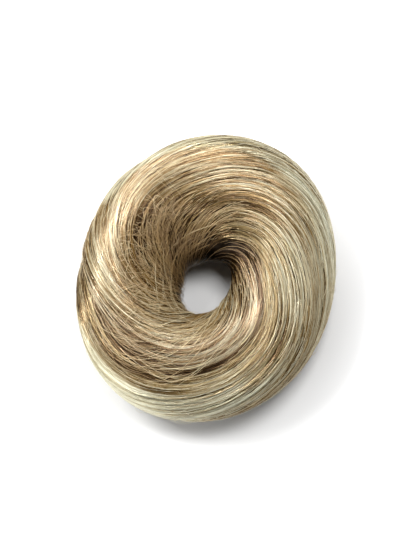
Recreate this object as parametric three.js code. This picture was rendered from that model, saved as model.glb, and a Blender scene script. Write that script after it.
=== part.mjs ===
// A hair ring for dressing a bun or a ponytail: tresses of hair wound round a hidden elastic band.
// Millimetres, +Z up. The ring lies flat on the plane Z = 0, and its hole runs along Z.
// The origin is on that plane, under the middle of the ring's box.
// Azimuth runs anticlockwise from +X seen from above. In each upright section across the hair roll the
// winding angle starts at the rim and runs over the crest to the hole, then back along the underside.

import * as THREE from "three";

// Plan of the ring: an oval rim and an off-centre hole
const rimHalfLong = 52.2;
const rimHalfShort = 45.5;
const rimTurnDeg = 66;
const rimCentre = new THREE.Vector3(-0.3, 0.15, 0);
const holeCentre = new THREE.Vector3(-0.6, -2.95, 0);

// Sections round the ring, evenly spaced. rimSwell is how far the hair stands out past the oval, and
// crestLean how far the crest leans out towards the rim.
const ringSections = [
  { azimuthDeg: 0, holeRadius: 8.8, rimSwell: 0.1, crestHeight: 34.0, crestLean: 0.0 },
  { azimuthDeg: 45, holeRadius: 10.9, rimSwell: 1.1, crestHeight: 35.0, crestLean: 0.0 },
  { azimuthDeg: 90, holeRadius: 7.6, rimSwell: -0.5, crestHeight: 36.0, crestLean: 2.5 },
  { azimuthDeg: 135, holeRadius: 7.2, rimSwell: -1.7, crestHeight: 35.0, crestLean: 6.0 },
  { azimuthDeg: 180, holeRadius: 6.8, rimSwell: -2.0, crestHeight: 33.5, crestLean: 4.0 },
  { azimuthDeg: 225, holeRadius: 9.9, rimSwell: 0.2, crestHeight: 33.0, crestLean: 0.5 },
  { azimuthDeg: 270, holeRadius: 9.5, rimSwell: 0.5, crestHeight: 33.0, crestLean: 0.0 },
  { azimuthDeg: 315, holeRadius: 8.0, rimSwell: 1.5, crestHeight: 33.5, crestLean: 0.0 },
];

// How much of the round section is pressed flat where the ring rests
const restSink = 1.7;

// Elastic band in the middle of the hair roll
const bandDiameter = 5;
const bandSides = 8;
const bandColour = 0x8a7350;
const bandRoughness = 0.8;

// Clear gap between neighbouring pieces
const pieceGap = 0.3;

// One lap of the ring, in which each tress turns once round the band
const lapDeg = 360;

// Ribs along each tress
const ribsPerTress = 2;
const ribDepth = 0.6;

// The share of their depth that ribs and grooves keep at the rim and in the hole
const sideDepthShare = 0.35;

// The tresses in winding order. edgeDeg is the winding angle of the lower edge at each of the sections
// above, so a tress runs along the ring where it changes little, and crosses over where it changes fast.
// edgeDepth is the depth of the groove along that edge, and sink the depth of the whole crown, both under
// the round section. footRise and headRise are the shares of the width over which the crown rises from
// its lower and its upper groove.
const tresses = [
  {
    name: "platinum_tress", colour: 0xe6ddb6, edgeDeg: [-295, -267, -236, -185, -85, -45, 5, 35],
    edgeDepth: 1.6, sink: 0.0, footRise: 0.5, headRise: 0.2,
  },
  {
    name: "ash_tress", colour: 0xa08a66, edgeDeg: [-244, -222, -185, -88, 30, 60, 79, 95],
    edgeDepth: 2.6, sink: 0.5, footRise: 0.6, headRise: 0.3,
  },
  {
    name: "gold_tress", colour: 0xb5965f, edgeDeg: [-186, -165, -134, -60, 50, 102, 126, 148],
    edgeDepth: 1.5, sink: 0.1, footRise: 0.4, headRise: 0.3,
  },
  {
    name: "honey_tress", colour: 0xc0a271, edgeDeg: [-145, -117, -82, -15, 68, 120, 149, 181],
    edgeDepth: 1.4, sink: 0.0, footRise: 0.5, headRise: 0.3,
  },
  {
    name: "caramel_tress", colour: 0xa98855, edgeDeg: [-91, -55, -16, 35, 88, 140, 192, 231],
    edgeDepth: 1.8, sink: 0.5, footRise: 0.5, headRise: 0.2,
  },
  {
    name: "cream_tress", colour: 0xdccfa6, edgeDeg: [-6, 16, 41, 66, 108, 168, 246, 313],
    edgeDepth: 1.6, sink: 0.2, footRise: 0.5, headRise: 0.3,
  },
  {
    name: "hazel_tress", colour: 0x97794c, edgeDeg: [17, 41, 69, 90, 130, 215, 300, 352],
    edgeDepth: 1.4, sink: 0.4, footRise: 0.4, headRise: 0.3,
  },
  {
    name: "beige_tress", colour: 0xcbb68c, edgeDeg: [39, 62, 88, 112, 160, 265, 336, 374],
    edgeDepth: 1.6, sink: 0.0, footRise: 0.5, headRise: 0.3,
  },
];
const hairRoughness = 0.4;

// Facets
const stations = 48;
const crownPoints = 10;
const corePoints = 4;

const radians = THREE.MathUtils.degToRad;
const { lerp, smoothstep } = THREE.MathUtils;

// A smooth closed curve through one value for each section, as a function of azimuth.
function roundTheRing(values) {
  const points = values.map((value) => new THREE.Vector3(value, 0, 0));
  const curve = new THREE.CatmullRomCurve3(points, true, "catmullrom");
  return (azimuthDeg) => curve.getPoint(azimuthDeg / lapDeg).x;
}

const holeRadiusAt = roundTheRing(ringSections.map((section) => section.holeRadius));
const rimSwellAt = roundTheRing(ringSections.map((section) => section.rimSwell));
const crestHeightAt = roundTheRing(ringSections.map((section) => section.crestHeight));
const crestLeanAt = roundTheRing(ringSections.map((section) => section.crestLean));

// How far each tress's lower edge is ahead of an even winding of one turn in a lap
const edgeLeads = tresses.map(({ edgeDeg }) =>
  roundTheRing(edgeDeg.map((angleDeg, i) => angleDeg - ringSections[i].azimuthDeg)),
);

// Distance from the rim's centre to its oval.
function ovalRadius(azimuth) {
  const turned = azimuth - radians(rimTurnDeg);
  return 1 / Math.hypot(Math.cos(turned) / rimHalfLong, Math.sin(turned) / rimHalfShort);
}

// The upright section at one azimuth: its centre, its outward direction, its half sizes and its lean.
function sectionAt(azimuthDeg) {
  const azimuth = radians(azimuthDeg);
  const ray = new THREE.Vector3(Math.cos(azimuth), Math.sin(azimuth), 0);
  const holeSide = holeCentre.clone().addScaledVector(ray, holeRadiusAt(azimuthDeg));
  const rimSide = rimCentre.clone().addScaledVector(ray, ovalRadius(azimuth) + rimSwellAt(azimuthDeg));
  const halfHeight = (crestHeightAt(azimuthDeg) + restSink) / 2;
  return {
    centre: holeSide.clone().lerp(rimSide, 0.5).setZ(halfHeight - restSink),
    outward: rimSide.clone().sub(holeSide).normalize(),
    halfWidth: holeSide.distanceTo(rimSide) / 2,
    halfHeight,
    crestLean: crestLeanAt(azimuthDeg),
  };
}

// A point of a section from its coordinates across and up. The section leans out more towards its crest,
// and is pressed flat on the plane it rests on.
function pointIn(section, across, up) {
  const lean = section.crestLean * ((1 + up / section.halfHeight) / 2) ** 2;
  const point = section.centre.clone().addScaledVector(section.outward, across + lean);
  point.z = Math.max(point.z + up, 0);
  return point;
}

// Winding angle of a tress's lower edge, in radians. The edge of the next tress is this one's upper edge.
function edgeAngle(index, azimuthDeg) {
  const laps = Math.floor(index / tresses.length) * lapDeg;
  return radians(laps + azimuthDeg + edgeLeads[index % tresses.length](azimuthDeg));
}

// Depth of a tress's surface under the round section, at a share from its lower edge to its upper edge.
function crownDepth(index, share, angle) {
  const tress = tresses[index];
  const nextTress = tresses[(index + 1) % tresses.length];
  const foot = 1 - smoothstep(share, 0, tress.footRise);
  const head = smoothstep(share, 1 - tress.headRise, 1);
  const rib = (ribDepth * (1 + Math.cos(2 * Math.PI * ribsPerTress * share))) / 2;
  const crown = (tress.sink + rib) * (1 - foot - head);
  const depth = crown + tress.edgeDepth * foot + nextTress.edgeDepth * head;
  return depth * lerp(sideDepthShare, 1, Math.abs(Math.sin(angle)));
}

// One closed loop of a tress: over its crown from the lower to the upper edge, and back along the band.
function tressLoop(index, azimuthDeg) {
  const section = sectionAt(azimuthDeg);
  const lower = edgeAngle(index, azimuthDeg);
  const upper = edgeAngle(index + 1, azimuthDeg);
  const coreRadius = bandDiameter / 2 + pieceGap;
  const loop = [];
  const place = (angle, reach, share) => {
    const inset = (pieceGap / 2) * (share === 0 ? 1 : share === 1 ? -1 : 0);
    const across = Math.cos(angle) * reach - Math.sin(angle) * inset;
    const up = Math.sin(angle) * reach + Math.cos(angle) * inset;
    loop.push(pointIn(section, across, up));
  };
  for (let i = 0; i < crownPoints; i += 1) {
    const share = i / (crownPoints - 1);
    const angle = lerp(lower, upper, share);
    const flatness = Math.hypot(Math.cos(angle) / section.halfWidth, Math.sin(angle) / section.halfHeight);
    place(angle, 1 / flatness - crownDepth(index, share, angle), share);
  }
  for (let i = 0; i < corePoints; i += 1) {
    const share = 1 - i / (corePoints - 1);
    place(lerp(lower, upper, share), coreRadius, share);
  }
  return loop;
}

// One closed loop of the elastic band.
function bandLoop(azimuthDeg) {
  const section = sectionAt(azimuthDeg);
  const bandRadius = bandDiameter / 2;
  return Array.from({ length: bandSides }, (_, i) => {
    const angle = (i / bandSides) * 2 * Math.PI;
    return pointIn(section, Math.cos(angle) * bandRadius, Math.sin(angle) * bandRadius);
  });
}

// A closed ring skinned over loops that stand round it. The strips of each loop from turnedFrom on are
// split along the other diagonal: on a tress those are the ones along the band and up its lower wall, which
// is then parallel to the wall of the tress below it.
function ringGeometry(loopAt, turnedFrom) {
  const loops = Array.from({ length: stations }, (_, i) => loopAt((i / stations) * lapDeg));
  const size = loops[0].length;
  const positions = loops.flat().flatMap((point) => point.toArray());
  const indices = [];
  for (let i = 0; i < stations; i += 1) {
    for (let j = 0; j < size; j += 1) {
      const here = i * size;
      const next = ((i + 1) % stations) * size;
      const [a, b] = [here + j, here + ((j + 1) % size)];
      const [c, d] = [next + ((j + 1) % size), next + j];
      indices.push(...(j < turnedFrom ? [a, d, b, b, d, c] : [a, c, b, a, d, c]));
    }
  }
  const geometry = new THREE.BufferGeometry();
  geometry.setAttribute("position", new THREE.Float32BufferAttribute(positions, 3));
  geometry.setIndex(indices);
  geometry.computeVertexNormals();
  return geometry;
}

function piece(name, geometry, color, roughness) {
  const material = new THREE.MeshStandardMaterial({ color, roughness, metalness: 0 });
  const mesh = new THREE.Mesh(geometry, material);
  mesh.name = name;
  return mesh;
}

const hairRing = new THREE.Group();
hairRing.name = "hair_ring";
hairRing.add(piece("elastic_band", ringGeometry(bandLoop, bandSides), bandColour, bandRoughness));
tresses.forEach((tress, index) => {
  const geometry = ringGeometry((azimuthDeg) => tressLoop(index, azimuthDeg), crownPoints);
  hairRing.add(piece(tress.name, geometry, tress.colour, hairRoughness));
});

export default hairRing;
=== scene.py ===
import math

import bpy
import numpy as np
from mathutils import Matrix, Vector


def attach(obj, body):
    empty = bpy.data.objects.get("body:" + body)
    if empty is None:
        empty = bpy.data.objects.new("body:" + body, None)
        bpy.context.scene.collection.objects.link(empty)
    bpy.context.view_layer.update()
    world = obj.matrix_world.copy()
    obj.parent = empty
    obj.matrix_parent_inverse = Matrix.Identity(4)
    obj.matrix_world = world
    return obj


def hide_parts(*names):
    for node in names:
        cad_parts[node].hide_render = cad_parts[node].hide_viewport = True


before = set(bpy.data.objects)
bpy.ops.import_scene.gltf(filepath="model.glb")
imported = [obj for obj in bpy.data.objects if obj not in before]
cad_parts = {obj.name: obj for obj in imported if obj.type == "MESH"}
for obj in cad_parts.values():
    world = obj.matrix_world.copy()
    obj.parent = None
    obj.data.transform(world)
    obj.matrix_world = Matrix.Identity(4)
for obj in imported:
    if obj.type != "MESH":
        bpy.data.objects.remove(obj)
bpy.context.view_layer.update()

mm = 0.001
lapDeg = 360.0
print("frame loaded with", len(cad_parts), "nodes")


# The ring's form, as the solids have it

ringForm = {  # sizes in mm, tables every 45 degrees of azimuth
    "rimHalfLong": 52.2,
    "rimHalfShort": 45.5,
    "rimTurnDeg": 66.0,
    "rimCentre": (-0.3, 0.15),
    "holeCentre": (-0.6, -2.95),
    "restSink": 1.7,  # pressed flat where the ring rests
    "holeRadius": (8.8, 10.9, 7.6, 7.2, 6.8, 9.9, 9.5, 8.0),
    "rimSwell": (0.1, 1.1, -0.5, -1.7, -2.0, 0.2, 0.5, 1.5),
    "crestHeight": (34.0, 35.0, 36.0, 35.0, 33.5, 33.0, 33.0, 33.5),
    "crestLean": (0.0, 0.0, 2.5, 6.0, 4.0, 0.5, 0.0, 0.0),  # out towards the rim
    "coreRadius": 2.8,  # room for the elastic
    "ribsPerTress": 2,
    "ribDepth": 0.6,
    "sideDepthShare": 0.35,  # of their depth that ribs and grooves keep at the rim and in the hole
    "wallGap": 0.15,
}

# edgeDeg is the winding angle of a tress's lower edge, every 45 degrees of azimuth
tressColumns = ("name", "edgeDeg", "edgeDepth", "sink", "footRise", "headRise", "paintedGrooveTone")
# The last column, paintedGrooveTone, is painted shade in the grooves at a tress's edges
tressRows = (
    ("platinum", (-295, -267, -236, -185, -85, -45, 5, 35), 1.6, 0.0, 0.5, 0.2, 0.10),
    ("ash", (-244, -222, -185, -88, 30, 60, 79, 95), 2.6, 0.5, 0.6, 0.3, 0.30),
    ("gold", (-186, -165, -134, -60, 50, 102, 126, 148), 1.5, 0.1, 0.4, 0.3, 0.15),
    ("honey", (-145, -117, -82, -15, 68, 120, 149, 181), 1.4, 0.0, 0.5, 0.3, 0.12),
    ("caramel", (-91, -55, -16, 35, 88, 140, 192, 231), 1.8, 0.5, 0.5, 0.2, 0.20),
    ("cream", (-6, 16, 41, 66, 108, 168, 246, 313), 1.6, 0.2, 0.5, 0.3, 0.20),
    ("hazel", (17, 41, 69, 90, 130, 215, 300, 352), 1.4, 0.4, 0.4, 0.3, 0.20),
    ("beige", (39, 62, 88, 112, 160, 265, 336, 374), 1.6, 0.0, 0.5, 0.3, 0.20),
)
tresses = [dict(zip(tressColumns, row)) for row in tressRows]


def smoothstep(x, low, high):
    t = np.clip((x - low) / (high - low), 0.0, 1.0)
    return t * t * (3.0 - 2.0 * t)


def lerp(a, b, share):
    return a + (b - a) * share


def roundTheRing(values, azimuthDeg):  # smooth closed curve through evenly spaced values
    values = np.asarray(values, float)
    place = np.asarray(azimuthDeg, float) / lapDeg * len(values)
    first = np.floor(place).astype(int)
    t = place - first
    p0, p1, p2, p3 = (values[(first + k) % len(values)] for k in (-1, 0, 1, 2))
    bend = 2 * p0 - 5 * p1 + 4 * p2 - p3
    return p1 + 0.5 * t * ((p2 - p0) + t * (bend + t * (3 * (p1 - p2) + p3 - p0)))


def sectionAt(azimuthDeg):  # centre, outward direction and half sizes of the upright section
    azimuth = np.radians(azimuthDeg)
    ray = np.stack([np.cos(azimuth), np.sin(azimuth)], -1)
    turned = azimuth - math.radians(ringForm["rimTurnDeg"])
    oval = 1.0 / np.hypot(np.cos(turned) / ringForm["rimHalfLong"], np.sin(turned) / ringForm["rimHalfShort"])
    rimReach = oval + roundTheRing(ringForm["rimSwell"], azimuthDeg)
    holeReach = roundTheRing(ringForm["holeRadius"], azimuthDeg)
    holeSide = np.array(ringForm["holeCentre"]) + ray * holeReach[..., None]
    rimSide = np.array(ringForm["rimCentre"]) + ray * rimReach[..., None]
    width = np.linalg.norm(rimSide - holeSide, axis=-1)
    halfHeight = (roundTheRing(ringForm["crestHeight"], azimuthDeg) + ringForm["restSink"]) / 2
    return (holeSide + rimSide) / 2, (rimSide - holeSide) / width[..., None], width / 2, halfHeight


def pointIn(azimuthDeg, angle, reach, inset=0.0):  # metres, leaning out and pressed flat on the floor
    centre, outward, _, halfHeight = sectionAt(azimuthDeg)
    across = np.cos(angle) * reach - np.sin(angle) * inset
    up = np.sin(angle) * reach + np.cos(angle) * inset
    lean = roundTheRing(ringForm["crestLean"], azimuthDeg) * ((1.0 + up / halfHeight) / 2) ** 2
    plan = centre + outward * (across + lean)[..., None]
    height = np.maximum(up + halfHeight - ringForm["restSink"], 0.0)
    return np.concatenate([plan, height[..., None]], -1) * mm


def roundReach(azimuthDeg, angle):  # from the middle of the section to its round outline
    _, _, halfWidth, halfHeight = sectionAt(azimuthDeg)
    return 1.0 / np.hypot(np.cos(angle) / halfWidth, np.sin(angle) / halfHeight)


def edgeAngle(index, azimuthDeg):  # a tress's lower edge; the next tress's is its upper edge
    edgeDeg = np.array(tresses[index % len(tresses)]["edgeDeg"], float)
    lead = edgeDeg - np.arange(len(edgeDeg)) * lapDeg / len(edgeDeg)  # against an even winding
    return np.radians(index // len(tresses) * lapDeg + azimuthDeg + roundTheRing(lead, azimuthDeg))


def tressAngle(index, azimuthDeg, share):
    return lerp(edgeAngle(index, azimuthDeg), edgeAngle(index + 1, azimuthDeg), share)


def crownDepth(index, share, angle):  # of a tress's surface under the round outline
    tress, nextTress = tresses[index], tresses[(index + 1) % len(tresses)]
    foot = 1.0 - smoothstep(share, 0.0, tress["footRise"])
    head = smoothstep(share, 1.0 - tress["headRise"], 1.0)
    rib = ringForm["ribDepth"] * (1.0 + np.cos(2.0 * math.pi * ringForm["ribsPerTress"] * share)) / 2
    crown = (tress["sink"] + rib) * (1.0 - foot - head)
    depth = crown + tress["edgeDepth"] * foot + nextTress["edgeDepth"] * head
    return depth * lerp(ringForm["sideDepthShare"], 1.0, np.abs(np.sin(angle)))


# Meshes from arrays

strandShape = {
    "flatness": 0.8,  # of a strand's thickness to its width
    "sideLeanDeg": 60.0,  # how far its shading turns away at the sides
}


def tubes(points, outward, halfWide, halfThick):  # closed three-sided strands, one edge up and outward
    count, length = points.shape[:2]
    sideLean = strandShape["sideLeanDeg"]
    along = np.gradient(points, axis=1)
    along /= np.linalg.norm(along, axis=-1, keepdims=True)
    side = np.cross(along, outward)
    side /= np.linalg.norm(side, axis=-1, keepdims=True)
    up = np.cross(side, along)
    corners, normals = [], []
    for turn, lean in ((90.0, 0.0), (210.0, -sideLean), (330.0, sideLean)):
        wide, thick = math.cos(math.radians(turn)), math.sin(math.radians(turn))
        corners.append(points + side * (halfWide * wide)[..., None] + up * (halfThick * thick)[..., None])
        normals.append(up * math.cos(math.radians(lean)) + side * math.sin(math.radians(lean)))
    vertices = np.stack(corners, 2)
    vertices[..., 2] = np.maximum(vertices[..., 2], 0.0)
    index = np.arange(count * length * 3).reshape(count, length, 3)
    a, d = index[:, :-1], index[:, 1:]
    b, c = np.roll(a, -1, 2), np.roll(d, -1, 2)
    walls = np.stack([a, d, b, b, d, c], -1).reshape(-1, 3)
    caps = np.concatenate([index[:, 0], index[:, -1, ::-1]])
    return vertices.reshape(-1, 3), np.concatenate([walls, caps]), np.stack(normals, 2).reshape(-1, 3)


def perCorner(values):  # one value per strand point, repeated for its three corners
    return np.repeat(values.reshape(-1, *values.shape[2:]), 3, axis=0)


strandMap = {  # where strands and under-bodies lie on a piece's map, as shares of it
    "columns": 4,
    "ends": (0.01, 0.99),  # of a strand's column
    "corners": (0.5, 0.35, 0.65),  # across its strip
    "body": (0.01, 0.10),  # start and width
    "strands": (0.13, 0.99),
}


def stripMap(count, length, low, high):  # a thin strip of the map for each strand
    columns = strandMap["columns"]
    number = np.arange(count)[:, None, None]
    along = np.linspace(*strandMap["ends"], length)[None, :, None]
    along = np.broadcast_to((number % columns + along) / columns, (count, length, 3))
    row = number // columns + np.array(strandMap["corners"])
    across = low + (high - low) * np.broadcast_to(row, (count, length, 3)) / (count // columns + 1)
    return np.stack([along, across], -1).reshape(-1, 2)


def joined(parts):  # arrays of several closed shells as one
    offsets = np.cumsum([0] + [len(part["vertices"]) for part in parts[:-1]])
    keys = ("vertices", "normals", "tone", "pale", "flow", "map")
    whole = {key: np.concatenate([part[key] for part in parts]) for key in keys}
    whole["triangles"] = np.concatenate([part["triangles"] + start for part, start in zip(parts, offsets)])
    return whole


def strandShell(points, outward, halfWide, tone, pale, flow, mapFrom, mapTo):  # one set of strands
    count, length = points.shape[:2]
    vertices, triangles, normals = tubes(points, outward, halfWide, halfWide * strandShape["flatness"])
    return {
        "vertices": vertices,
        "triangles": triangles,
        "normals": normals,
        "tone": perCorner(np.broadcast_to(tone, (count, length))),
        "pale": perCorner(np.broadcast_to(pale, (count, length))),
        "flow": perCorner(flow),
        "map": stripMap(count, length, mapFrom, mapTo)[triangles].reshape(-1, 2),
    }


def makePiece(name, arrays, material, replaced):
    mesh = bpy.data.meshes.new(name)
    triangles = arrays["triangles"]
    mesh.vertices.add(len(arrays["vertices"]))
    mesh.vertices.foreach_set("co", arrays["vertices"].astype(np.float32).ravel())
    mesh.loops.add(triangles.size)
    mesh.loops.foreach_set("vertex_index", triangles.astype(np.int32).ravel())
    mesh.polygons.add(len(triangles))
    mesh.polygons.foreach_set("loop_start", np.arange(0, triangles.size, 3, dtype=np.int32))
    mesh.polygons.foreach_set("use_smooth", np.ones(len(triangles), bool))
    mesh.update(calc_edges=True)
    for key in ("tone", "pale"):
        mesh.attributes.new(key, "FLOAT", "POINT").data.foreach_set("value", arrays[key].astype(np.float32))
    flow = mesh.attributes.new("flow", "FLOAT_VECTOR", "POINT")
    flow.data.foreach_set("vector", arrays["flow"].astype(np.float32).ravel())
    bakeMap = mesh.uv_layers.new(name="OFBake")
    bakeMap.uv.foreach_set("vector", arrays["map"].astype(np.float32).ravel())
    mesh.normals_split_custom_set_from_vertices(arrays["normals"])
    mesh.materials.append(material)
    piece = bpy.data.objects.new(name, mesh)
    bpy.context.scene.collection.objects.link(piece)
    if replaced:
        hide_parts(replaced)
    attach(piece, "root")
    print(name, "has", len(triangles), "triangles")


# Hair colours

def linear(red, green, blue):  # a colour as picked from a screen, 0 to 255, for the shader
    values = [c / 255 for c in (red, green, blue)]
    return tuple(c / 12.92 if c <= 0.04045 else ((c + 0.055) / 1.055) ** 2.4 for c in values) + (1.0,)


def link(tree, fromSocket, toSocket):
    tree.links.new(fromSocket, toSocket)


def mathNode(tree, operation, *values):  # a Math node with plain numbers or sockets as its inputs
    node = tree.nodes.new("ShaderNodeMath")
    node.operation = operation
    for socket, value in zip(node.inputs, values):
        if isinstance(value, (int, float)):
            socket.default_value = value
        else:
            link(tree, value, socket)
    return node.outputs[0]


def mapRange(tree, value, fromLimits, toLimits=(0.0, 1.0), smooth=False):
    node = tree.nodes.new("ShaderNodeMapRange")
    if smooth:
        node.interpolation_type = "SMOOTHSTEP"
    for name, limit in zip(("From Min", "From Max", "To Min", "To Max"), (*fromLimits, *toLimits)):
        node.inputs[name].default_value = limit
    link(tree, value, node.inputs["Value"])
    return node.outputs["Result"]


def stretchedNoise(tree, vector, stretch, detail):  # noise drawn out along the hair
    stretched = tree.nodes.new("ShaderNodeVectorMath")
    stretched.operation = "MULTIPLY"
    stretched.inputs[1].default_value = stretch
    link(tree, vector, stretched.inputs[0])
    noise = tree.nodes.new("ShaderNodeTexNoise")
    noise.inputs["Scale"].default_value = 1.0
    noise.inputs["Detail"].default_value = detail
    link(tree, stretched.outputs[0], noise.inputs["Vector"])
    return noise.outputs["Fac"]


def colourMix(tree, factor, first, second):
    mix = tree.nodes.new("ShaderNodeMix")
    mix.data_type = "RGBA"
    link(tree, factor, mix.inputs["Factor"])
    colourInputs = [socket for socket in mix.inputs if socket.type == "RGBA"]
    link(tree, first, colourInputs[0])
    link(tree, second, colourInputs[1])
    return [socket for socket in mix.outputs if socket.type == "RGBA"][0]


hairTintSet = {
    "streakStretch": (40.0, 2.5, 2.5),  # fine across the hair, long along it
    "streakDetail": 3.0,
    "crinkleStretch": (90.0, 30.0, 30.0),
    "crinkleDetail": 1.0,
    "middleTone": 0.5,  # tone 0 has the deep colour, tone 1 the bright one
    "dimmestTone": -1.0,  # hair in shadow
    "dimmest": 0.15,  # of the deep colour
    "roughness": (0.10, 0.27),
    "metallicTone": (-0.45, 0.9),
    "metallic": (0.85, 0.18),  # hair in shadow reflects more in its own colour
}


def hairTintGroup():  # colour, roughness, metallic and crinkle that run along the strands
    group = bpy.data.node_groups.new("hairTint", "ShaderNodeTree")
    for name in ("Deep", "Middle", "Bright", "Pale Deep", "Pale"):
        group.interface.new_socket(name, in_out="INPUT", socket_type="NodeSocketColor")
    group.interface.new_socket("Streak Amount", in_out="INPUT", socket_type="NodeSocketFloat")
    group.interface.new_socket("Color", in_out="OUTPUT", socket_type="NodeSocketColor")
    for name in ("Roughness", "Metallic", "Crinkle"):
        group.interface.new_socket(name, in_out="OUTPUT", socket_type="NodeSocketFloat")
    inputs = group.nodes.new("NodeGroupInput").outputs
    outputs = group.nodes.new("NodeGroupOutput").inputs
    attributes = {}
    for name in ("tone", "pale", "flow"):
        attributes[name] = group.nodes.new("ShaderNodeAttribute")
        attributes[name].attribute_name = name
    flow = attributes["flow"].outputs["Vector"]
    streak = stretchedNoise(group, flow, hairTintSet["streakStretch"], hairTintSet["streakDetail"])
    crinkle = stretchedNoise(group, flow, hairTintSet["crinkleStretch"], hairTintSet["crinkleDetail"])
    centred = mathNode(group, "SUBTRACT", streak, 0.5)
    tone = attributes["tone"].outputs["Fac"]
    shade = mathNode(group, "MULTIPLY_ADD", centred, inputs["Streak Amount"], tone)
    toMiddle = mapRange(group, shade, (0.0, hairTintSet["middleTone"]))
    toBright = mapRange(group, shade, (hairTintSet["middleTone"], 1.0))
    colour = colourMix(group, toMiddle, inputs["Deep"], inputs["Middle"])
    colour = colourMix(group, toBright, colour, inputs["Bright"])
    # Painted shade: tone below zero, mostly from the locks' painted shade, darkens the colour towards black
    paintedShadeDimmed = group.nodes.new("ShaderNodeVectorMath")
    paintedShadeDimmed.operation = "SCALE"
    link(group, colour, paintedShadeDimmed.inputs["Vector"])
    paintedShadeDim = mapRange(group, shade, (hairTintSet["dimmestTone"], 0.0), (hairTintSet["dimmest"], 1.0))
    link(group, paintedShadeDim, paintedShadeDimmed.inputs["Scale"])
    bleached = colourMix(group, shade, inputs["Pale Deep"], inputs["Pale"])
    colour = colourMix(group, attributes["pale"].outputs["Fac"], paintedShadeDimmed.outputs["Vector"], bleached)
    link(group, colour, outputs["Color"])
    link(group, mapRange(group, streak, (0.0, 1.0), hairTintSet["roughness"]), outputs["Roughness"])
    metallic = mapRange(group, shade, hairTintSet["metallicTone"], hairTintSet["metallic"])
    link(group, metallic, outputs["Metallic"])
    link(group, crinkle, outputs["Crinkle"])
    return group


hairLook = {
    "streakAmount": 0.65,
    "ior": 1.6,
    "specular": 0.8,
    "glossTint": (255, 248, 236),
    "crinkleDepth": 0.00025,  # metres
    "crinkleStrength": 0.1,
    "looseRoughness": 0.5,  # single hairs show all along, with no sparkle
    "paleDeep": (184, 168, 122),
    "pale": (245, 244, 218),
}
hairColours = {  # deep, middle and bright, as on a screen
    "platinum": ((93, 67, 31), (163, 140, 94), (209, 202, 174)),
    "ash": ((66, 43, 17), (132, 102, 60), (179, 168, 139)),
    "gold": ((77, 50, 18), (149, 119, 70), (196, 185, 153)),
    "honey": ((83, 54, 20), (155, 124, 74), (200, 190, 160)),
    "caramel": ((77, 49, 17), (149, 118, 70), (196, 185, 153)),
    "cream": ((81, 52, 18), (152, 119, 67), (196, 183, 148)),
    "hazel": ((73, 47, 17), (145, 115, 67), (190, 179, 146)),
    "beige": ((79, 53, 20), (150, 121, 72), (193, 184, 155)),
    "loose": ((96, 70, 36), (158, 128, 80), (212, 196, 156)),
}


def hairMaterial(name, tint):
    loose = name == "loose"
    screenColours = hairColours[name] + (hairLook["paleDeep"], hairLook["pale"])
    material = bpy.data.materials.new(name + "Hair")
    material.use_nodes = True
    tree = material.node_tree
    shader = tree.nodes["Principled BSDF"]
    shader.inputs["IOR"].default_value = hairLook["ior"]
    shader.inputs["Specular IOR Level"].default_value = hairLook["specular"]
    shader.inputs["Specular Tint"].default_value = linear(*hairLook["glossTint"])
    node = tree.nodes.new("ShaderNodeGroup")
    node.node_tree = tint
    for socket, colour in zip(("Deep", "Middle", "Bright", "Pale Deep", "Pale"), screenColours):
        node.inputs[socket].default_value = linear(*colour)
    node.inputs["Streak Amount"].default_value = hairLook["streakAmount"]
    bump = tree.nodes.new("ShaderNodeBump")
    bump.inputs["Strength"].default_value = hairLook["crinkleStrength"]
    bump.inputs["Distance"].default_value = hairLook["crinkleDepth"]
    link(tree, node.outputs["Crinkle"], bump.inputs["Height"])
    link(tree, node.outputs["Color"], shader.inputs["Base Color"])
    if loose:
        shader.inputs["Roughness"].default_value = hairLook["looseRoughness"]
    else:
        for socket in ("Roughness", "Metallic"):
            link(tree, node.outputs[socket], shader.inputs[socket])
    link(tree, bump.outputs["Normal"], shader.inputs["Normal"])
    return material


# Elastic: a covered band, hidden in the hair

elasticLook = {
    "thread": (150, 126, 90),
    "gap": (96, 77, 50),
    "ribsPerMetre": 160.0,
    "ribDepth": 0.0003,  # metres
    "roughness": 0.85,
}


def elasticMaterial():
    material = bpy.data.materials.new("elasticCover")
    material.use_nodes = True
    tree = material.node_tree
    shader = tree.nodes["Principled BSDF"]
    shader.inputs["Roughness"].default_value = elasticLook["roughness"]
    place = tree.nodes.new("ShaderNodeTexCoord")
    weave = tree.nodes.new("ShaderNodeTexWave")
    weave.bands_direction = "DIAGONAL"
    weave.inputs["Scale"].default_value = elasticLook["ribsPerMetre"]
    link(tree, place.outputs["Object"], weave.inputs["Vector"])
    threads = tree.nodes.new("ShaderNodeValToRGB")
    threads.color_ramp.elements[0].color = linear(*elasticLook["gap"])
    threads.color_ramp.elements[1].color = linear(*elasticLook["thread"])
    link(tree, weave.outputs["Fac"], threads.inputs["Fac"])
    link(tree, threads.outputs["Color"], shader.inputs["Base Color"])
    ribs = tree.nodes.new("ShaderNodeBump")
    ribs.inputs["Distance"].default_value = elasticLook["ribDepth"]
    link(tree, weave.outputs["Fac"], ribs.inputs["Height"])
    link(tree, ribs.outputs["Normal"], shader.inputs["Normal"])
    return material


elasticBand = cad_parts["elastic_band"]
elasticBand.data.materials.clear()
elasticBand.data.materials.append(elasticMaterial())
print("elastic covered")


# Locks: an under-body of packed hair with strands laid over it

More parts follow.
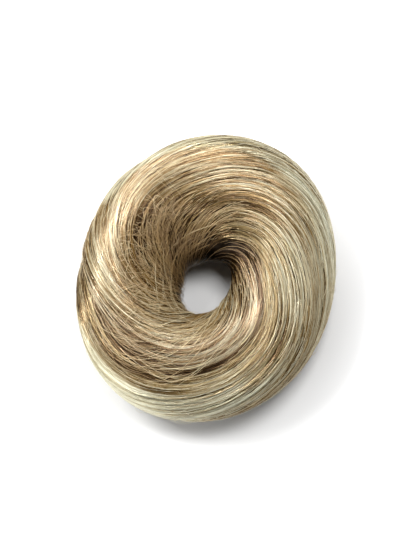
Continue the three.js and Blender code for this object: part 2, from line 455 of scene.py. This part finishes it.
lockBody = {
    "stations": 120,
    "crownPoints": 22,
    "corePoints": 4,
    "depth": 0.8,  # mm under the tress's surface
    # painted shade: the under-body is kept near black for the shade deep between the strands
    "tone": 0.05,
    "paleTone": 0.45,  # where the rim is bleached
    "paleDraw": 0.6,  # as drawn for a strand
    "pale": 0.7,
}
strandsLaid = {
    "total": 8000,
    "most": 1970,  # kept on one tress
    "points": 17,
    "triesEach": 10,  # places drawn for each strand, to pick from
    "arcDeg": (45.0, 120.0),
    "below": 0.45,  # how many lie on the underside, against the top
    "sideHeight": (-0.5, 0.3),  # between underside and top, as a share of half the roll's height
    "wispWidth": 0.75,  # mm, the mean where the tress is widest
    "wispSpread": (0.4, 1.7),  # of single wisps, against each other
    "fewestWisps": 4,
    "wispSteady": 0.6,  # how much wisps differ all along
    "wispWaves": ((2, 0.6), (5, 0.4)),  # turns in a lap and size of the waves that run along them
    "gather": 0.75,  # of a wisp's width that its strands fill
    "sway": 0.35,  # of a wisp's width
    "drift": 0.7,  # wisps that most strands move aside
    "stray": 0.16,  # share of strands that cross their neighbours
    "strayDrift": 2.6,
    "wander": 0.3,
    "wanderTurns": (2.0, 6.0),  # in a lap
    "overlap": 0.12,  # of a tress's width that strands may dive under the next tress
    "fineHalfWide": (0.05, 0.10),  # mm
    "thickHalfWide": (0.10, 0.18),
    "thickShare": 0.3,
    "tipWidth": 0.25,  # of a strand's width that its ends keep
    "tipShare": 0.02,  # of its length
    "bedding": 0.3,  # mm under the tress's surface
    "domeRise": 0.42,
    "wispRise": 0.46,
    "layerRise": 0.32,
    "layerSpread": (-1.2, 0.6),
    "strayRise": 0.25,
    "sideRise": 0.35,  # of the rises, at the rim and in the hole
    "endDive": 1.6,
    "diveShare": 0.16,  # of a strand's length, at either end
    "ripple": 0.22,  # mm, of single strands up and down
    "rippleSpread": (0.3, 1.0),
    "rippleLength": (9.0, 22.0),  # mm
    "meanTone": 0.52,
    "wispTone": 0.35,
    "strandTone": 0.32,
    "darkest": 0.0,  # tone of a strand before the locks' painted light and shade
    "paleTone": 0.75,  # that bleached strands come near to
    "paleHold": 0.3,  # how near
    "paleLuck": 0.5,  # of a strand by itself, the rest is its wisp's
    "paleSpread": (0.75, 1.0),
    "paintedGrooveFoot": 0.4,  # of a tress's rise from its groove that gets painted shade
    "surveyDeg": 3.0,  # steps round the ring when tresses are measured
    "seed": 11,
}
paleRim = {  # the bleached rim, every 45 degrees of azimuth: its share of strands and how far up it reaches
    "share": (0.44, 0.60, 0.68, 0.70, 0.20, 1.12, 0.58, 0.36),
    "reachDeg": (48.0, 48.0, 42.0, 40.0, 24.0, 41.0, 52.0, 42.0),
    "fadeDeg": 6.0,
    "softness": 0.15,
    "onTress": {"platinum": 1.0, "ash": 0.35, "gold": 0.5, "honey": 0.8,
                "caramel": 1.0, "cream": 1.0, "hazel": 0.8, "beige": 0.6},
}


def paleness(index, azimuthDeg, angle, draw):  # of a strand whose luck is drawn from 0 to 1
    fromRim = np.abs((np.degrees(angle) + 180.0) % lapDeg - 180.0)
    reach = roundTheRing(paleRim["reachDeg"], azimuthDeg)
    inRim = 1.0 - smoothstep(fromRim, reach - paleRim["fadeDeg"], reach)
    bleached = roundTheRing(paleRim["share"], azimuthDeg) * paleRim["onTress"][tresses[index]["name"]]
    return inRim * smoothstep(bleached - draw, -paleRim["softness"], paleRim["softness"])


paintedLightShadeColumns = ("woundDeg", "tones")
paintedLightShadeRows = (  # painted light and shade: hair lightened where it is lit and darkened in the hole and on shaded slopes, with some of the hair's own lighter and darker tone, every 45 degrees of azimuth
    (-10.0, (0.3, 0.12, -0.1, 0.0, 0.0, 0.45, 0.15, 0.0)),  # just under the rim
    (20.0, (0.72, 0.22, -0.36, 0.00, -0.30, -0.02, 0.06, 0.16)),  # just over the rim
    (65.0, (0.44, 0.10, 0.12, 0.20, 0.24, -0.32, 0.06, -0.24)),  # outer slope
    (115.0, (-0.02, -0.20, -0.46, -0.92, -0.36, 0.10, 0.12, 0.20)),  # inner slope
    (165.0, (-0.18, -1.05, -1.70, -1.70, -1.25, -0.22, -0.08, 0.14)),  # in the hole
    (255.0, (0.0, 0.0, 0.0, 0.0, 0.0, 0.0, 0.0, 0.0)),  # underside
)


# Painted light and shade: the table's tones between its winding angles, all round the ring
def paintedLightAndShade(azimuthDeg, angle):
    rows = [dict(zip(paintedLightShadeColumns, values)) for values in paintedLightShadeRows]
    first = rows[0]["woundDeg"]
    wound = (np.degrees(angle) - first) % lapDeg + first
    shade = np.zeros(wound.shape)
    for row, nextRow in zip(rows, rows[1:] + rows[:1]):
        span = (nextRow["woundDeg"] - row["woundDeg"]) % lapDeg
        share = (wound - row["woundDeg"]) / span
        here, there = (roundTheRing(r["tones"], azimuthDeg) for r in (row, nextRow))
        between = lerp(here, there, smoothstep(share, 0.0, 1.0))
        shade = np.where((share >= 0.0) & (share < 1.0), between, shade)
    return shade


def paintedGrooveShade(index, share):  # painted shade: hair darkened down in the grooves along a tress
    lower, upper = tresses[index], tresses[(index + 1) % len(tresses)]
    foot = 1.0 - smoothstep(share, 0.0, strandsLaid["paintedGrooveFoot"] * lower["footRise"])
    head = smoothstep(share, 1.0 - lower["headRise"], 1.0)
    return -lower["paintedGrooveTone"] * foot - upper["paintedGrooveTone"] * head


def hairFlow(index, azimuthDeg, share):  # coordinates that run with the hair, closed round the lap
    azimuth = np.radians(azimuthDeg)
    return np.stack([index + share, np.cos(azimuth), np.sin(azimuth)], -1)


def gridNormals(vertices):  # of a grid of points that closes both ways
    along = np.roll(vertices, -1, 0) - np.roll(vertices, 1, 0)
    across = np.roll(vertices, -1, 1) - np.roll(vertices, 1, 1)
    normals = np.cross(along, across)
    return (normals / np.linalg.norm(normals, axis=-1, keepdims=True)).reshape(-1, 3)


def bodyArrays(index):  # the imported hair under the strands
    stations, crownPoints, corePoints = (lockBody[key] for key in ("stations", "crownPoints", "corePoints"))
    crown = np.linspace(0.0, 1.0, crownPoints)
    core = np.linspace(1.0, 0.0, corePoints)
    share = np.broadcast_to(np.concatenate([crown, core]), (stations, crownPoints + corePoints))
    azimuthDeg = np.broadcast_to(np.arange(stations)[:, None] * lapDeg / stations, share.shape)
    angle = tressAngle(index, azimuthDeg, share)
    reach = roundReach(azimuthDeg, angle) - crownDepth(index, share, angle) - lockBody["depth"]
    reach[:, crownPoints:] = ringForm["coreRadius"]
    inset = ringForm["wallGap"] * ((share == 0.0) * 1.0 - (share == 1.0) * 1.0)
    vertices = pointIn(azimuthDeg, angle, reach, inset)
    pale = paleness(index, azimuthDeg, angle, lockBody["paleDraw"]) * lockBody["pale"]
    # painted shade: the body also takes the darker half of the painted light and shade
    tone = lerp(lockBody["tone"], lockBody["paleTone"], pale) + np.minimum(paintedLightAndShade(azimuthDeg, angle), 0.0)
    size = share.shape[1]
    station, corner = np.meshgrid(np.arange(stations), np.arange(size), indexing="ij")
    corners = [(0, 0), (1, 0), (0, 1), (0, 1), (1, 0), (1, 1)]
    triangles = np.stack([(station + s) % stations * size + (corner + c) % size for s, c in corners], -1)
    low, wide = strandMap["body"]
    places = [np.stack([(station + s) / stations, low + wide * (corner + c) / size], -1) for s, c in corners]
    return {
        "vertices": vertices.reshape(-1, 3),
        "triangles": triangles.reshape(-1, 3),
        "normals": gridNormals(vertices),
        "tone": np.maximum(tone, -1.0).ravel(),
        "pale": pale.ravel(),
        "flow": hairFlow(index, azimuthDeg, share).reshape(-1, 3),
        "map": np.stack(places, 2).reshape(-1, 2),
    }


def layWeight(index, azimuthDeg, share):  # how much hair shows here: by area, and less on the underside
    angle = tressAngle(index, azimuthDeg, share)
    width = edgeAngle(index + 1, azimuthDeg) - edgeAngle(index, azimuthDeg)
    plan = pointIn(azimuthDeg, angle, roundReach(azimuthDeg, angle))[..., :2]
    above = smoothstep(np.sin(angle), *strandsLaid["sideHeight"])
    return width * np.linalg.norm(plan, axis=-1) * lerp(strandsLaid["below"], 1.0, above)


def strandCounts():  # the strands shared out between the tresses
    around, bands = np.arange(0.0, lapDeg, strandsLaid["surveyDeg"]), np.linspace(0.05, 0.95, 10)
    azimuthDeg, share = np.meshgrid(around, bands, indexing="ij")
    weights = np.array([layWeight(index, azimuthDeg, share).sum() for index in range(len(tresses))])
    return np.round(strandsLaid["total"] * weights / weights.sum()).astype(int)


def wispCount(index):  # as many as fit where the tress is widest
    around = np.arange(0.0, lapDeg, strandsLaid["surveyDeg"])
    width = edgeAngle(index + 1, around) - edgeAngle(index, around)
    middle = tressAngle(index, around, np.full(around.shape, 0.5))
    widest = (width * roundReach(around, middle)).max()
    return max(strandsLaid["fewestWisps"], int(round(widest / strandsLaid["wispWidth"])))


def alongWisps(rng, wisps, which, azimuth):  # a smooth value that runs along each wisp, about -1 to 1
    value = rng.normal(0.0, strandsLaid["wispSteady"], wisps)[which][:, None]
    for turns, size in strandsLaid["wispWaves"]:
        phase = rng.uniform(0.0, 2.0 * math.pi, wisps)[which][:, None]
        value = value + size * np.sin(turns * azimuth + phase)
    return value


def pickPlaces(index, count, rng):  # the strands' middles, more of them where more hair shows
    tries = strandsLaid["triesEach"] * count
    azimuthDeg, share = rng.uniform(0.0, lapDeg, tries), rng.uniform(0.0, 1.0, tries)
    weight = layWeight(index, azimuthDeg, share)
    pick = rng.choice(tries, count, replace=False, p=weight / weight.sum())
    return azimuthDeg[pick][:, None], share[pick][:, None]


def strandRise(rng, wisps, home, aside, stray, azimuth, lapLength):  # mm over the strands' bed
    count = len(home)
    dome = strandsLaid["domeRise"] * (1.0 - (2.0 * aside) ** 2)
    layer = strandsLaid["layerRise"] * rng.uniform(*strandsLaid["layerSpread"], (count, 1))
    rise = dome + layer + strandsLaid["wispRise"] * alongWisps(rng, wisps, home, azimuth)
    rise = rise + strandsLaid["strayRise"] * stray
    rippleTurns = lapLength / rng.uniform(*strandsLaid["rippleLength"], (count, 1))
    ripple = np.sin(rippleTurns * azimuth + rng.uniform(0.0, 2.0 * math.pi, (count, 1)))
    return rise + strandsLaid["ripple"] * ripple * rng.uniform(*strandsLaid["rippleSpread"], (count, 1))


def strandWidth(rng, count, t):  # half widths in metres, thinner at the ends
    thick = rng.random((count, 1)) < strandsLaid["thickShare"]
    fineWide = rng.uniform(*strandsLaid["fineHalfWide"], (count, 1))
    thickWide = rng.uniform(*strandsLaid["thickHalfWide"], (count, 1))
    along = np.clip(t, strandsLaid["tipShare"], 1.0 - strandsLaid["tipShare"])
    taper = lerp(strandsLaid["tipWidth"], 1.0, np.sin(math.pi * along) ** 0.5)
    return np.where(thick, thickWide, fineWide) * taper * mm


def strandColour(rng, index, wisps, home, azimuthDeg, angle, share):  # tone and paleness
    count = len(home)
    wispTone = strandsLaid["wispTone"] * alongWisps(rng, wisps, home, np.radians(azimuthDeg))
    tone = strandsLaid["meanTone"] + wispTone + rng.normal(0.0, strandsLaid["strandTone"], (count, 1))
    tone = np.clip(tone, strandsLaid["darkest"], 1.0)
    # painted light and shade from the table, and painted shade in the grooves
    tone = np.clip(tone + paintedLightAndShade(azimuthDeg, angle) + paintedGrooveShade(index, share), -1.0, 1.0)
    wispDraw = rng.random(wisps)[home][:, None]
    draw = lerp(wispDraw, rng.random((count, 1)), strandsLaid["paleLuck"])
    pale = paleness(index, azimuthDeg, angle, draw) * rng.uniform(*strandsLaid["paleSpread"], (count, 1))
    return lerp(tone, strandsLaid["paleTone"], strandsLaid["paleHold"] * pale), pale


def strandArrays(index, count):
    rng = np.random.default_rng(strandsLaid["seed"] + index)
    midDeg, midShare = pickPlaces(index, count, rng)
    t = np.linspace(0.0, 1.0, strandsLaid["points"])[None, :]
    azimuthDeg = midDeg + rng.uniform(*strandsLaid["arcDeg"], (count, 1)) * (t - 0.5)
    azimuth = np.radians(azimuthDeg)

    wisps = wispCount(index)  # each strand belongs to the one that its middle lies in
    edges = np.cumsum(np.append(0.0, rng.uniform(*strandsLaid["wispSpread"], wisps)))
    edges /= edges[-1]
    home = np.searchsorted(edges, midShare[:, 0], side="right") - 1
    middle, wide = (edges[home] + edges[home + 1])[:, None] / 2, (edges[home + 1] - edges[home])[:, None]
    aside = (midShare - middle) / wide * strandsLaid["gather"]
    stray = rng.random((count, 1)) < strandsLaid["stray"]
    drift = rng.normal(0.0, np.where(stray, strandsLaid["strayDrift"], strandsLaid["drift"]))
    drift = drift * (t - 0.5) * 2.0
    sway = strandsLaid["sway"] * alongWisps(rng, wisps, home, azimuth)
    turns = rng.uniform(*strandsLaid["wanderTurns"], (count, 1))
    wander = strandsLaid["wander"] * np.sin(turns * azimuth + rng.uniform(0.0, 2.0 * math.pi, (count, 1)))
    share = middle + wide * (aside + sway) + (drift + wander) / wisps
    share = np.clip(share, -strandsLaid["overlap"], 1.0 + strandsLaid["overlap"])
    angle = tressAngle(index, azimuthDeg, share)

    core = pointIn(midDeg, angle[:, :1], np.zeros_like(midDeg))[..., :2] / mm
    lapLength = 2.0 * math.pi * np.linalg.norm(core, axis=-1)
    rise = strandRise(rng, wisps, home, aside, stray, azimuth, lapLength)
    rise = rise * lerp(strandsLaid["sideRise"], 1.0, np.abs(np.sin(angle)))
    diveShare = strandsLaid["diveShare"]
    ends = 1.0 - smoothstep(t, 0.0, diveShare) + smoothstep(t, 1.0 - diveShare, 1.0)
    depth = crownDepth(index, np.clip(share, 0.0, 1.0), angle)
    bed = roundReach(azimuthDeg, angle) - depth - strandsLaid["bedding"]
    reach = bed + rise - strandsLaid["endDive"] * ends
    points = pointIn(azimuthDeg, angle, reach)
    outward = points - pointIn(azimuthDeg, angle, np.zeros_like(reach))

    halfWide = strandWidth(rng, count, t)
    tone, pale = strandColour(rng, index, wisps, home, azimuthDeg, angle, share)
    strands = (points, outward, halfWide, tone, pale, hairFlow(index, azimuthDeg, share))
    return strandShell(*(values[:strandsLaid["most"]] for values in strands), *strandMap["strands"])


tint = hairTintGroup()
materials = {tress["name"]: hairMaterial(tress["name"], tint) for tress in tresses}
for index, count in enumerate(strandCounts()):
    name = tresses[index]["name"]
    arrays = joined([bodyArrays(index), strandArrays(index, count)])
    makePiece(name + "_lock", arrays, materials[name], name + "_tress")
print("locks laid")


# Loose hairs: fine ones across the locks, frizz beside the hole, and a few long ones on their own

looseHairs = {
    "points": 12,
    "depth": 0.5,  # mm under the round outline, where a loose hair lies on the locks
    "curlBack": 0.5,  # of the side curl, as an S
    "freeShare": 0.5,  # with one end free, the others have both tucked in
    "freeBend": 1.5,
    "tuckDepth": 0.8,  # mm, at the start
    "tuckShare": 0.2,  # of the length
    "thinning": 0.6,  # from start to tip
    "pale": 0.5,
    "paleDraw": 0.5,
    "paintedShadeShare": 0.5,  # of the locks' painted light and shade
    "seed": 5,
    "slot": "honey_hair",
    "mapShare": 0.9,  # of each set's part of the map
}
# How many hairs, the stretch of ring they start in, how much they follow the locks and their heading
# against that, then in mm their length, rise, side curl and half width
looseColumns = ("name", "count", "azimuthDeg", "woundDeg", "follow", "headingDeg",
                "length", "rise", "curl", "halfWide", "tone")
looseRows = (
    ("fine, on top", 380, (0, 360), (-40, 140), 1.0, (-11, 11),
     (12, 34), (0.2, 0.5), 0.4, (0.06, 0.10), (0.5, 1.0)),
    ("frizz beside the hole", 420, (105, 205), (85, 142), 1.0, (-80, 80),
     (5, 16), (0.3, 1.8), 2.4, (0.05, 0.10), (0.2, 1.1)),
    ("swept over the frizz", 160, (55, 135), (88, 130), 1.0, (3, 24),
     (16, 34), (0.3, 0.9), 0.6, (0.06, 0.10), (0.5, 1.0)),
    ("round the hole", 36, (50, 170), (125, 152), 0.1, (-14, 14),
     (12, 30), (0.6, 2.4), 0.8, (0.06, 0.09), (0.9, 1.3)),
    ("across the lower left", 150, (170, 260), (40, 125), 1.0, (-10, 48),
     (12, 30), (0.3, 0.9), 0.8, (0.06, 0.10), (0.4, 1.0)),
    ("off the rim", 130, (0, 360), (-25, 60), 1.0, (-25, 25),
     (5, 13), (0.4, 1.3), 0.7, (0.05, 0.08), (0.6, 1.0)),
)


def flowAngle(azimuthDeg, startDeg, startAngle):  # of hair that starts here and follows its tress
    edges = np.stack([edgeAngle(k, startDeg) for k in range(len(tresses) + 1)], -1)
    wound = (startAngle - edges[..., 0]) % (2.0 * math.pi)
    widths = edges - edges[..., :1]
    inTress = (widths <= wound[..., None]).sum(-1) - 1
    angle = np.zeros(np.broadcast_shapes(azimuthDeg.shape, startAngle.shape))
    for index in range(len(tresses)):
        mine = inTress[:, 0] == index
        low, high = widths[mine][..., index], widths[mine][..., index + 1]
        share = (wound[mine] - low) / (high - low)
        angle[mine] = tressAngle(index, azimuthDeg[mine], share)
    return angle


def looseArrays(row, rng, mapFrom, mapTo):
    count, t = row["count"], np.linspace(0.0, 1.0, looseHairs["points"])[None, :]

    def drawn(key):
        return rng.uniform(*row[key], (count, 1))

    startDeg, startAngle = drawn("azimuthDeg"), np.radians(drawn("woundDeg"))
    heading, length = np.radians(drawn("headingDeg")), drawn("length")
    plan = pointIn(startDeg, startAngle, roundReach(startDeg, startAngle))[..., :2] / mm
    azimuthDeg = startDeg + np.degrees(length * np.cos(heading) * t / np.linalg.norm(plan, axis=-1))
    curl = row["curl"] * rng.normal(0.0, 1.0, (count, 1)) * np.sin(math.pi * t)
    curlBack = row["curl"] * looseHairs["curlBack"] * rng.normal(0.0, 1.0, (count, 1))
    curl = curl + curlBack * np.sin(2.0 * math.pi * t)
    aside = length * np.sin(heading) * t + curl
    flowing = flowAngle(azimuthDeg, startDeg, startAngle)
    angle = startAngle + row["follow"] * (flowing - flowing[:, :1])
    angle = angle + aside / roundReach(azimuthDeg, angle)
    free = rng.random((count, 1)) < looseHairs["freeShare"]
    lift = np.where(free, t ** looseHairs["freeBend"], np.sin(math.pi * t)) * drawn("rise")
    tuck = looseHairs["tuckDepth"] * (1.0 - smoothstep(t, 0.0, looseHairs["tuckShare"]))
    reach = roundReach(azimuthDeg, angle) - looseHairs["depth"] + lift - tuck
    points = pointIn(azimuthDeg, angle, reach)
    outward = points - pointIn(azimuthDeg, angle, np.zeros_like(reach))
    halfWide = drawn("halfWide") * (1.0 - looseHairs["thinning"] * t) * mm
    pale = paleness(0, azimuthDeg, angle, looseHairs["paleDraw"]) * looseHairs["pale"]
    across = np.broadcast_to(rng.uniform(0.0, len(tresses), (count, 1)), lift.shape)
    flow = np.stack([across, np.broadcast_to(t, lift.shape), np.zeros(lift.shape)], -1)
    # painted light and shade of the locks, in part, on the loose hairs
    tone = drawn("tone") + looseHairs["paintedShadeShare"] * paintedLightAndShade(azimuthDeg, angle)
    return strandShell(points, outward, halfWide, np.clip(tone, 0.0, 1.0), pale, flow, mapFrom, mapTo)


rng = np.random.default_rng(looseHairs["seed"])
looseParts = []
for number, values in enumerate(looseRows):
    row = dict(zip(looseColumns, values))
    mapFrom, mapTo = number / len(looseRows), (number + looseHairs["mapShare"]) / len(looseRows)
    looseParts.append(looseArrays(row, rng, mapFrom, mapTo))
    print("loose hairs", row["name"] + ":", row["count"])
makePiece("loose_hairs", joined(looseParts), hairMaterial("loose", tint), None)
print("loose hairs laid")


# Studio: floor, lights and camera

studio = {
    "floorRadius": 3.0,
    "floorSides": 96,
    "floorColour": (0.6, 0.6, 0.6, 1.0),
    "floorRoughness": 0.9,
    "paintedFloorGlow": 0.72,  # painted light: the floor glows, with none near the ring, so that a painted shadow lies round it
    "paintedShadowCentre": (0.006, -0.012, 0.0),  # metres, the middle of the painted shadow, where the floor's glow is least
    "paintedShadowReach": (0.028, 0.078),  # metres from there, where the glow starts and where it is full
    "worldStrength": 0.07,
}
lightColumns = ("name", "power", "size", "distance", "offVerticalDeg", "azimuthDeg")
lightRows = (
    ("key", 4.9, 0.22, 0.7, 38.0, 150.0),
    ("overhead", 6.1, 0.27, 0.8, 18.0, 58.0),
    ("fill", 1.5, 0.40, 0.7, 68.0, 222.0),
)
cameraSet = {
    "elevationDeg": 84.0,
    "distance": 0.683,
    "aimX": 0.63,  # mm
    "aimY": 0.17,
    "aimZ": 17.0,
    "frameHeight": 0.1982,  # metres across the picture's height at the aim
    "sensor": 36.0,
}


def makeFloor():
    sides, radius = studio["floorSides"], studio["floorRadius"]
    bpy.ops.mesh.primitive_circle_add(vertices=sides, radius=radius, fill_type="NGON")
    floor = bpy.context.object
    floor.name = "floor"
    material = bpy.data.materials.new("floorWithPaintedShadow")
    material.use_nodes = True
    tree = material.node_tree
    shader = tree.nodes["Principled BSDF"]
    shader.inputs["Base Color"].default_value = studio["floorColour"]
    shader.inputs["Roughness"].default_value = studio["floorRoughness"]
    shader.inputs["Emission Strength"].default_value = studio["paintedFloorGlow"]
    # Painted light and shadow: the floor's glow grows with distance from the painted shadow's middle
    place = tree.nodes.new("ShaderNodeTexCoord")
    reach = tree.nodes.new("ShaderNodeVectorMath")
    reach.operation = "DISTANCE"
    reach.inputs[1].default_value = studio["paintedShadowCentre"]
    link(tree, place.outputs["Object"], reach.inputs[0])
    paintedFloorGlow = mapRange(tree, reach.outputs["Value"], studio["paintedShadowReach"], smooth=True)
    link(tree, paintedFloorGlow, shader.inputs["Emission Color"])
    floor.data.materials.append(material)


def makeWorld():
    world = bpy.data.worlds.new("studioWorld")
    world.use_nodes = True
    background = world.node_tree.nodes["Background"]
    background.inputs["Color"].default_value = (1.0, 1.0, 1.0, 1.0)
    background.inputs["Strength"].default_value = studio["worldStrength"]
    bpy.context.scene.world = world


def makeLight(row):
    lamp = bpy.data.lights.new(row["name"], "AREA")
    lamp.energy = row["power"]
    lamp.size = row["size"]
    light = bpy.data.objects.new(row["name"], lamp)
    tilt, azimuth = math.radians(row["offVerticalDeg"]), math.radians(row["azimuthDeg"])
    towards = Vector((math.sin(tilt) * math.cos(azimuth), math.sin(tilt) * math.sin(azimuth), math.cos(tilt)))
    light.location = towards * row["distance"]
    light.rotation_mode = "QUATERNION"
    light.rotation_quaternion = towards.to_track_quat("Z", "Y")
    bpy.context.scene.collection.objects.link(light)


def makeCamera():
    data = bpy.data.cameras.new("camera")
    data.sensor_width = cameraSet["sensor"]
    data.lens = cameraSet["sensor"] / cameraSet["frameHeight"] * cameraSet["distance"]
    camera = bpy.data.objects.new("camera", data)
    aim = Vector((cameraSet["aimX"], cameraSet["aimY"], cameraSet["aimZ"])) * mm
    elevation = math.radians(cameraSet["elevationDeg"])
    back = Vector((0.0, -math.cos(elevation), math.sin(elevation)))
    camera.location = aim + back * cameraSet["distance"]
    camera.rotation_mode = "QUATERNION"
    camera.rotation_quaternion = back.to_track_quat("Z", "Y")
    bpy.context.scene.collection.objects.link(camera)
    bpy.context.scene.camera = camera


makeFloor()
makeWorld()
for values in lightRows:
    makeLight(dict(zip(lightColumns, values)))
makeCamera()
bpy.context.scene.view_settings.view_transform = "Standard"
print("studio set")
